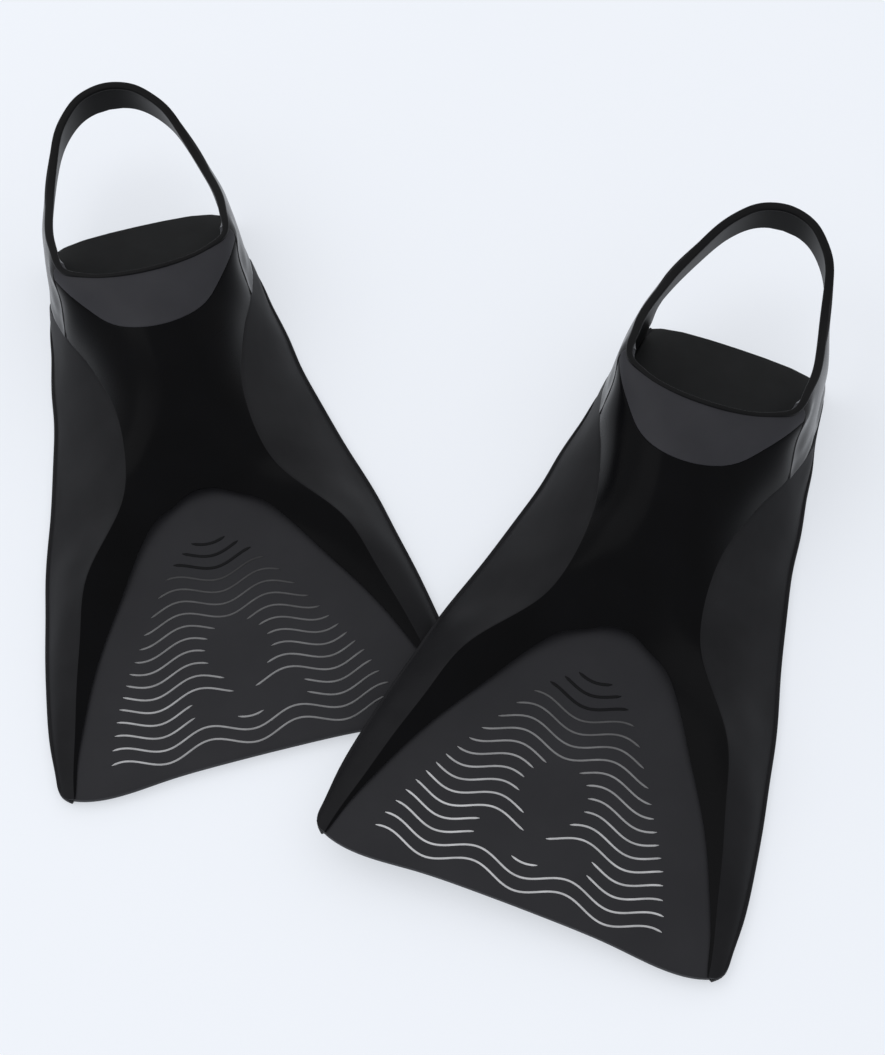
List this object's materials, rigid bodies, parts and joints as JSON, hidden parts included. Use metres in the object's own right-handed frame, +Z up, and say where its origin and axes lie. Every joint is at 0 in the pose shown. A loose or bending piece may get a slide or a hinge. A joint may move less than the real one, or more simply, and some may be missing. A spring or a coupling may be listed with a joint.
{
  "type": "swim fins",
  "caption": "Short swim fins with closed foot pockets, heel straps, stiff side rails and thin wave-lined blades, one fin leaning over the other.",
  "frame": {"origin": "on the floor under the middle of the pair", "axes": "+Y from the blade tips towards the heels, +X to the right as the tips point at the viewer, +Z up"},
  "size_m": [0.429, 0.535, 0.0804],
  "materials": {
    "gloss_saddle": "gloss",
    "panel_rubber": "satin",
    "collar_rubber": "matte",
    "web_rubber": "matte",
    "rib_grey": "satin",
    "sole_rubber": "matte"
  },
  "bodies": {
    "left_fin": {"left_fin_upper_saddle": "gloss_saddle", "left_fin_side_panel_left": "panel_rubber", "left_fin_side_panel_right": "panel_rubber", "left_fin_instep_collar": "collar_rubber", "left_fin_ankle_gusset_left": "collar_rubber", "left_fin_ankle_gusset_right": "collar_rubber", "left_fin_blade_web": "web_rubber", "left_fin_wave_ribs": "rib_grey", "left_fin_sole_plate": "sole_rubber", "left_fin_footbed": "sole_rubber", "left_fin_edge_bead_left": "panel_rubber", "left_fin_edge_bead_right": "panel_rubber", "left_fin_toe_wall": "panel_rubber"},
    "left_strap": {"left_fin_heel_strap": "collar_rubber"},
    "right_fin": {"right_fin_upper_saddle": "gloss_saddle", "right_fin_side_panel_left": "panel_rubber", "right_fin_side_panel_right": "panel_rubber", "right_fin_instep_collar": "collar_rubber", "right_fin_ankle_gusset_left": "collar_rubber", "right_fin_ankle_gusset_right": "collar_rubber", "right_fin_blade_web": "web_rubber", "right_fin_wave_ribs": "rib_grey", "right_fin_sole_plate": "sole_rubber", "right_fin_footbed": "sole_rubber", "right_fin_edge_bead_left": "panel_rubber", "right_fin_edge_bead_right": "panel_rubber", "right_fin_toe_wall": "panel_rubber"},
    "right_strap": {"right_fin_heel_strap": "collar_rubber"}
  },
  "joints": [
    {"name": "right_fin_lift", "type": "slide", "parent": "left_fin", "child": "right_fin", "axis": [0, 0, 1], "range_m": [0, 0.2]},
    {"name": "left_strap_bend", "type": "hinge", "parent": "left_fin", "child": "left_strap", "pos_m": [-0.16163, 0.19537, 0.048], "axis": [0.9815, 0.1913, 0], "range_deg": [-35, 25], "stiffness_Nm_per_rad": 0.8},
    {"name": "right_strap_bend", "type": "hinge", "parent": "right_fin", "child": "right_strap", "pos_m": [0.16237, 0.07512, 0.05185], "axis": [0.9029, -0.4238, -0.0721], "range_deg": [-35, 25], "stiffness_Nm_per_rad": 0.8}
  ]
}
